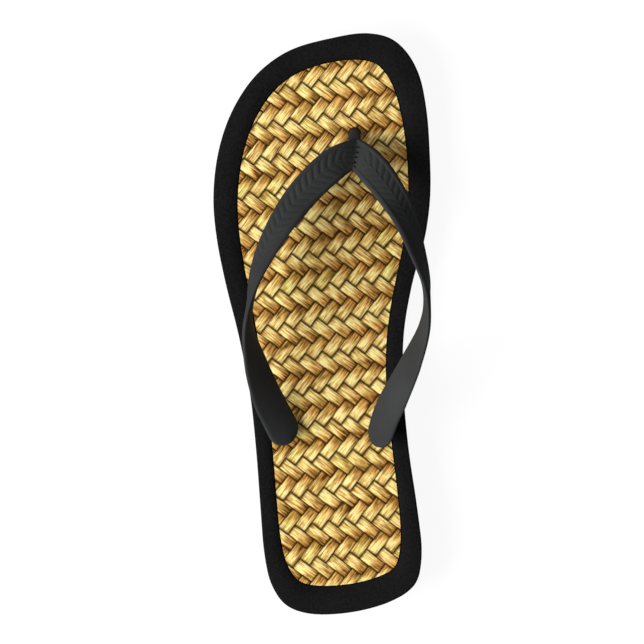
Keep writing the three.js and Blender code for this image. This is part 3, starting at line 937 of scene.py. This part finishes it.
def strip_set(name, turn, step, seed):
    panel = foot_shape(name, [
        ring(lambda rim: rim + MAT_EDGE_GAP, lambda y: CUT_LOW, MAT_ROUNDING),
        ring(lambda rim: rim + MAT_EDGE_GAP, lambda y: PANEL_HIGH, MAT_ROUNDING),
    ])
    combine(panel, stem_holes(name + "_hole"), "DIFFERENCE")
    corners = [(x, y) for x in (-MAT_REACH_X, MAT_REACH_X) for y in (-MAT_REACH_Y, MAT_REACH_Y)]
    cosine, sine = math.cos(turn), math.sin(turn)
    local = (np.array(corners) - weave_start) @ np.array([[cosine, -sine], [sine, cosine]]) / STRIP_WIDTH
    low = np.floor(local.min(0))
    high = np.ceil(local.max(0))
    cells = float(high[0] - low[0])
    weaving.run(panel, {
        "Pitch": STRIP_WIDTH, "Width Share": 0.97, "Pinch": 0.04, "Thickness": 0.7 * MM, "Lift": 0.45 * MM,
        "Steepness": 0.5, "Sink": 0.6 * MM, "Turn": turn, "Step": float(step), "Wander": 0.12 * MM,
        "Seed": float(seed), "Start": (*weave_start, 0.0), "First Cell": float(low[0]), "Cells": cells,
        "First Strip": float(low[1]), "Strip Count": int(high[1] - low[1]), "Sides": 12,
        "Points": int(cells * POINTS_PER_CELL) + 1, "Sole Length": SOLE_LENGTH,
        "Heel Height": HEEL_HEIGHT, "Forefoot Height": FOREFOOT_HEIGHT, "Toe Spring": TOE_SPRING,
        "Material": straw_finish("straw " + name, turn, step, seed),
    })
    clear_crumbs(panel, bends=True)
    smooth_faces(panel, 50)
    return panel


falling_strips = strip_set("mat_strips_falling", WEAVE_TURN, -1, 3)
rising_strips = strip_set("mat_strips_rising", WEAVE_TURN + math.pi / 2, 1, 8)

# %% [markdown]
# ## The strap
#
# One piece of moulded rubber. Its outer face is slightly crowned between soft bevels, and on the front half
# of each band it carries a herringbone of small grooves inside a plain border. The grooves are real: they
# are pressed into a fine mesh of the face, so that they catch the light from the side as well. A bump would
# be lighter, but the grooves end in teeth at the crease, and those show in its outline.

# %% Section of a band
STRAP_BEVEL = 2.2 * MM
STRAP_CROWN = 0.35 * MM
FOOT_ROUND = 2.4 * MM
FOOT_CROWN = 0.6 * MM
FACE_POINTS = 46
BEVEL_POINTS = 6
BEVEL_FALL = 1.4
FOOT_POINTS = 5
UNDER_POINTS = 13


def section_points(width):
    """The ribbon's section, for each width: points across (u) and out of its outer face (v).

    Bevels and lower corners shrink where the band gets narrow.
    """
    half = width[:, None] / 2
    bevel = np.minimum(STRAP_BEVEL, half * 0.6)
    corner = np.minimum(FOOT_ROUND, half * 0.4)
    shoulder = STRAP_THICKNESS / 2 - STRAP_CROWN
    foot = STRAP_THICKNESS / 2 - FOOT_CROWN
    across = np.linspace(1, -1, FACE_POINTS)
    face_u = (half - bevel) * across
    face_v = STRAP_THICKNESS / 2 - STRAP_CROWN * across**2 + 0 * half
    angle = np.linspace(0, math.pi / 2, BEVEL_POINTS + 1)
    round_u = half - bevel + bevel * np.cos(angle)
    round_v = shoulder * np.sin(angle) ** BEVEL_FALL + 0 * half
    angle = np.linspace(-math.pi / 2, 0, FOOT_POINTS)
    foot_u = half - corner + corner * np.cos(angle)
    foot_v = foot * np.sin(angle) + 0 * half
    under = np.linspace(-1, 1, UNDER_POINTS + 2)[1:-1]
    under_u = (half - corner) * under
    under_v = FOOT_CROWN * under**2 - STRAP_THICKNESS / 2 + 0 * half
    u = np.hstack([foot_u, round_u[:, :-1], face_u, -round_u[:, -2::-1], -foot_u[:, ::-1], under_u])
    v = np.hstack([foot_v, round_v[:, :-1], face_v, round_v[:, -2::-1], foot_v[:, ::-1], under_v])
    return u, v


# %% Herringbone grooves
RIB_PITCH = 4.2 * MM
ARM_SLOPE = 0.75
GROOVE_HALF_WIDTH = 0.38
GROOVE_DEPTH = 0.34 * MM
INNER_ROW_SHARE = 0.45
TIP_BREAK = (0.1 * MM, 0.6 * MM)
ARM_END = (0.1 * MM, 0.9 * MM)
RIBS_START = (5 * MM, 8 * MM)
FIELD_DEPTH = 0.26 * MM
FIELD_EDGE = (-0.3 * MM, 0.5 * MM)
FIELD_FADE = (86 * MM, 56 * MM)
BORDER = 2.1 * MM
TOOTH_PITCH = 2.5 * MM
TOOTH_HALF_WIDTH = 0.3
TOOTH_LENGTH = 7.5 * MM
TOOTH_FULL = 3 * MM
BITE_HALF_WIDTH = 0.5
BITE_LENGTH = 2.6 * MM
BITE_SLOPE = 0.7
FINE_STEP = 0.36 * MM


def line_of(place, half_width):
    """1 in the middle of each groove of a row that repeats at every whole number, 0 beside it."""
    return smoothstep(half_width, 0, abs(place - np.round(place)))


def herringbone(u, frames, outward):
    """How deep the field and its grooves are pressed into the outer face.

    Each groove is a wide V with its tip on the middle of the band and its arms towards the crease, and it
    is broken at the tip. On the lateral band, short grooves that run into the crease look like teeth, and
    the medial band is bitten away in line with them.
    """
    half = frames["width"][:, None] / 2
    run = frames["run"][:, None] + 0 * u
    on_face = np.zeros(u.shape[1])
    first = FOOT_POINTS + BEVEL_POINTS
    on_face[first:first + FACE_POINTS] = 1
    y = frames["at"][:, 1:2] + u * frames["across"][:, 1:2]
    inside = half - BORDER - abs(u)
    field = smoothstep(*FIELD_EDGE, inside) * smoothstep(*FIELD_FADE, run)
    arms = line_of((run + ARM_SLOPE * abs(u)) / RIB_PITCH, GROOVE_HALF_WIDTH)
    arms = arms * smoothstep(*TIP_BREAK, abs(u)) * np.where(u > 0, 1, INNER_ROW_SHARE)
    ribs = arms * smoothstep(*RIBS_START, run) * smoothstep(*ARM_END, inside)
    inner = smoothstep(0, 1 * MM, inside)
    if outward < 0:
        teeth = line_of(y / TOOTH_PITCH, TOOTH_HALF_WIDTH)
        teeth = teeth * smoothstep(TOOTH_LENGTH, TOOTH_FULL, run) * inner
        bites = 0
    else:
        teeth = 0
        reach = BITE_LENGTH * line_of(y / TOOTH_PITCH, BITE_HALF_WIDTH)
        bites = BITE_SLOPE * run * smoothstep(reach + FINE_STEP, reach, run) * inner
    return (field * (FIELD_DEPTH + np.maximum(ribs, teeth) * GROOVE_DEPTH) + bites) * on_face


# %% Steps along a band
PLAIN_STEP = 0.95 * MM
TRIAL_STEPS = 1500


def band_shares(rows, outward):
    """Shares along a band, close together where it is ribbed."""
    trial = np.linspace(0, 1, TRIAL_STEPS)
    run = band_frames(rows, outward, trial)["run"]
    ribbed = np.arange(0, FIELD_FADE[0], FINE_STEP)
    plain = np.linspace(ribbed[-1], run[-1], int((run[-1] - ribbed[-1]) / PLAIN_STEP) + 2)[1:]
    return np.interp(np.concatenate([ribbed, plain]), run, trial)


# %% Round tabs
TAB_END_LENGTH = 7.5 * MM
TAB_STEPS = 14
TIP_CUT = 0.12
TIP_SLIMMING = 0.3
LEVEL_STEPS = 45
LEVEL_ROUNDS = 60


def with_tab(frames):
    """Adds the round end: the width follows a half circle, cut short at the tip.

    Averaging the last heights lets the band come down to its tab without a kink.
    """
    way = unit(frames["along"][-1] * [1, 1, 0])
    angle = (np.arange(TAB_STEPS) + 1) / (TAB_STEPS + TIP_CUT) * math.pi / 2
    forward = (TAB_END_LENGTH * np.sin(angle))[:, None]
    longer = {}
    for key, values in frames.items():
        longer[key] = np.concatenate([values, np.repeat(values[-1:], TAB_STEPS, axis=0)])
    longer["at"][-TAB_STEPS:] += forward * way
    longer["width"][-TAB_STEPS:] *= np.cos(angle)
    longer["slim"] = np.ones(len(longer["width"]))
    longer["slim"][-TAB_STEPS:] = np.cos(angle) ** TIP_SLIMMING
    height = longer["at"][-LEVEL_STEPS - 1:, 2]
    for _ in range(LEVEL_ROUNDS):
        height[1:-1] = (height[:-2] + 2 * height[1:-1] + height[2:]) / 4
    return longer


# %% Both bands as one ribbon
EASED_LENGTH = 30 * MM
EASING_ROUNDS = 160


def band_rings(rows, outward):
    frames = with_tab(band_frames(rows, outward, band_shares(rows, outward)))
    u, v = section_points(frames["width"])
    v = v * frames["slim"][:, None]
    at, across, face = (frames[key][:, None, :] for key in ("at", "across", "face"))
    points = at + u[..., None] * across + v[..., None] * face
    ease = int(EASED_LENGTH / FINE_STEP)
    for _ in range(EASING_ROUNDS):
        points[1:ease] = (points[:ease - 1] + 2 * points[1:ease] + points[2:ease + 1]) / 4
    forward = np.einsum("ijk,ik->ij", np.diff(points, axis=0), frames["along"][:-1])
    print("smallest step forward", round(forward.min() / MM, 3), "mm")
    return points - herringbone(u, frames, outward)[..., None] * face


lateral_rings = band_rings(LATERAL_BAND, -1)
medial_rings = band_rings(MEDIAL_BAND, 1)
rings = np.concatenate([lateral_rings[:0:-1], medial_rings])
levels, count = rings.shape[:2]
caps = [tuple(range(count))[::-1], tuple(range((levels - 1) * count, levels * count))]
strap = mesh_object("thong_strap", rings.reshape(-1, 3), wall_faces(levels, count) + caps)
print("ribbon:", levels, "sections of", count, "points")

# %% [markdown]
# The toe post and the two side stems run straight down through the layers and end in round plugs. Each is
# a stack of rings that bends at its top to meet its band square on. Joined to the ribbon, they make one
# closed piece, as moulded.

# %% Bars along a bent line
UP = np.array([0, 0, 1.0])


def turned_bar(name, centres, normals, radii, sides=32):
    angles = np.arange(sides) / sides * 2 * math.pi
    points = []
    for centre, normal, radius in zip(centres, normals, radii):
        first = unit(np.array([1.0, 0, 0]) - normal * normal[0])
        second = np.cross(normal, first)
        points.append(centre + radius * (np.cos(angles)[:, None] * first + np.sin(angles)[:, None] * second))
    levels = len(points)
    ends = [tuple(range(sides))[::-1], tuple(range((levels - 1) * sides, levels * sides))]
    return mesh_object(name, np.vstack(points), wall_faces(levels, sides) + ends)


# %% Post, stems and plugs
STEM_FLARE = 1.3 * MM
STEM_STEPS = 15
STEM_ROOT = 1 * MM
PLUG_EDGE = 0.7 * MM
PLUG_SIDES = 64


def stem(name, fixing, frames, k):
    """A bar that starts inside its plug, and turns and widens towards section k of a band."""
    x, y, radius = fixing
    leave = np.array([x, y, float(top_height(from_heel(y))) + GAP])
    goal = frames["at"][k]
    control = np.array([x, y, (leave[2] + goal[2]) / 2])
    normal = frames["face"][k] * np.sign(frames["face"][k][2])
    centres = [np.array([x, y, plug_low(y) + STEM_ROOT])]
    normals = [UP]
    radii = [radius]
    for t in np.linspace(0, 1, STEM_STEPS):
        centres.append((1 - t) ** 2 * leave + 2 * t * (1 - t) * control + t**2 * goal)
        normals.append(unit((1 - t) * UP + t * normal))
        radii.append(radius + STEM_FLARE * t**2)
    return turned_bar(name, centres, normals, radii)


def plug(name, fixing):
    x, y, _ = fixing
    low = plug_low(y)
    angle = np.radians([0, 30, 60, 90])
    inward = list(PLUG_EDGE * (1 - np.sin(angle)))
    risen = list(PLUG_EDGE * (1 - np.cos(angle)))
    heights = [low + r for r in risen] + [low + PLUG_THICKNESS - r for r in risen[::-1]]
    radii = [PLUG_RADIUS - i for i in inward + inward[::-1]]
    centres = [np.array([x, y, h]) for h in heights]
    return turned_bar(name, centres, [UP] * len(radii), radii, PLUG_SIDES)


# %% Strap in one piece
targets = [(ends["medial"], 0), (ends["lateral"], 1), (ends["medial"], 1)]
fixtures = []
for k, (fixing, target) in enumerate(zip(fixings, targets)):
    fixtures.append(stem(f"stem_{k}", fixing, *target))
    fixtures.append(plug(f"plug_{k}", fixing))
combine(strap, fixtures, "UNION")

# %% [markdown]
# ## Moulded rubber
#
# The strap is charcoal, a shade lighter than the foam, and satin. A fine grain from the mould and a little
# wear spread the light. Gloss stays low: on so dark a colour even a weak reflection would read as grey.

# %% The strap's finish
def rubber_finish():
    rubber = Finish("strap rubber", specular=0.04)
    place = rubber.place()
    cloud = rubber.noise(place, 50, detail=3)
    grain = rubber.noise(place, 2600, detail=2)
    wear = rubber.noise(place, 220, detail=3)
    dark, light = (0.031, 0.0318, 0.032, 1), (0.037, 0.038, 0.0382, 1)
    rubber.set("Base Color", rubber.mix(cloud.eased(0.3, 0.7), dark, light))
    rubber.set("Roughness", 0.6 + (grain - 0.5) * 0.16 + (wear - 0.5) * 0.12)
    rubber.relief(grain + wear * 0.5, 0.03 * MM, 0.5)
    return rubber.material


dress(strap, rubber_finish())
smooth_faces(strap, 42)
print("strap:", len(strap.data.polygons), "faces")

# %% [markdown]
# ## Who stands for what
#
# Each finished piece rides with the solids' one body and takes the place of the solid that it dresses.

# %% Pieces and solids
for piece, nodes, slot in (
    (slab, ["sole"], "sole_foam"),
    (tread_panel, [], "sole_foam"),
    (sheet, ["top_sheet"], "top_sheet"),
    (falling_strips, ["woven_mat"], "straw"),
    (rising_strips, [], "straw"),
    (strap, ["strap"], "strap_rubber"),
):
    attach(piece, "root")
    if nodes:
        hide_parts(*nodes)

# %% [markdown]
# ## Camera, floor and light
#
# The shoe is seen from straight overhead. A far camera with a long lens keeps the raised strap at the same
# scale as the sole. The light is a large soft box to the left, a little towards the heel, and a pale room
# around it. Only the camera sees the floor, which glows by itself: a white floor that also lit the shoe
# would lie on the dark rubber as a grey sheen.

# %% Overhead camera
VIEW_WIDTH = 311.2 * MM
VIEW_MIDDLE = 0.85 * MM
CAMERA_HEIGHT = 6.0
SENSOR_WIDTH = 36
camera = bpy.data.objects.new("camera", bpy.data.cameras.new("camera"))
camera.data.sensor_width = SENSOR_WIDTH
camera.data.lens = SENSOR_WIDTH * CAMERA_HEIGHT / VIEW_WIDTH
camera.location = (0, VIEW_MIDDLE, CAMERA_HEIGHT)
bpy.context.scene.collection.objects.link(camera)
bpy.context.scene.camera = camera

# %% Floor
FLOOR_LEVEL = -0.2 * MM
FLOOR_REACH = 3
floor_ways = ((-1, -1), (1, -1), (1, 1), (-1, 1))
floor_corners = [(FLOOR_REACH * x, FLOOR_REACH * y, FLOOR_LEVEL) for x, y in floor_ways]
floor = mesh_object("floor", floor_corners, [(0, 1, 2, 3)])
paper = Finish("pale paper", specular=0.1)
paper.set("Roughness", 0.9)
paper.set("Base Color", (0.12, 0.12, 0.12, 1))
paper.set("Emission Color", (1, 1, 1, 1))
paper.set("Emission Strength", 0.92)
floor.data.materials.append(paper.material)
floor.visible_diffuse = False
floor.visible_glossy = False


# %% Soft box and room
def soft_box(name, place, aim, side, watts):
    light = bpy.data.lights.new(name, "AREA")
    light.shape = "SQUARE"
    light.size = side
    light.energy = watts
    lamp = bpy.data.objects.new(name, light)
    lamp.location = place
    lamp.rotation_euler = (Vector(aim) - Vector(place)).to_track_quat("-Z", "Y").to_euler()
    bpy.context.scene.collection.objects.link(lamp)


soft_box("key", place=(-1.6, -0.48, 1.3), aim=(0, 0, 0), side=1.6, watts=75)
world = bpy.data.worlds.new("pale room")
world.use_nodes = True
world.node_tree.nodes["Background"].inputs["Color"].default_value = (1, 1, 1, 1)
world.node_tree.nodes["Background"].inputs["Strength"].default_value = 0.24
bpy.context.scene.world = world
bpy.context.scene.view_settings.view_transform = "Standard"
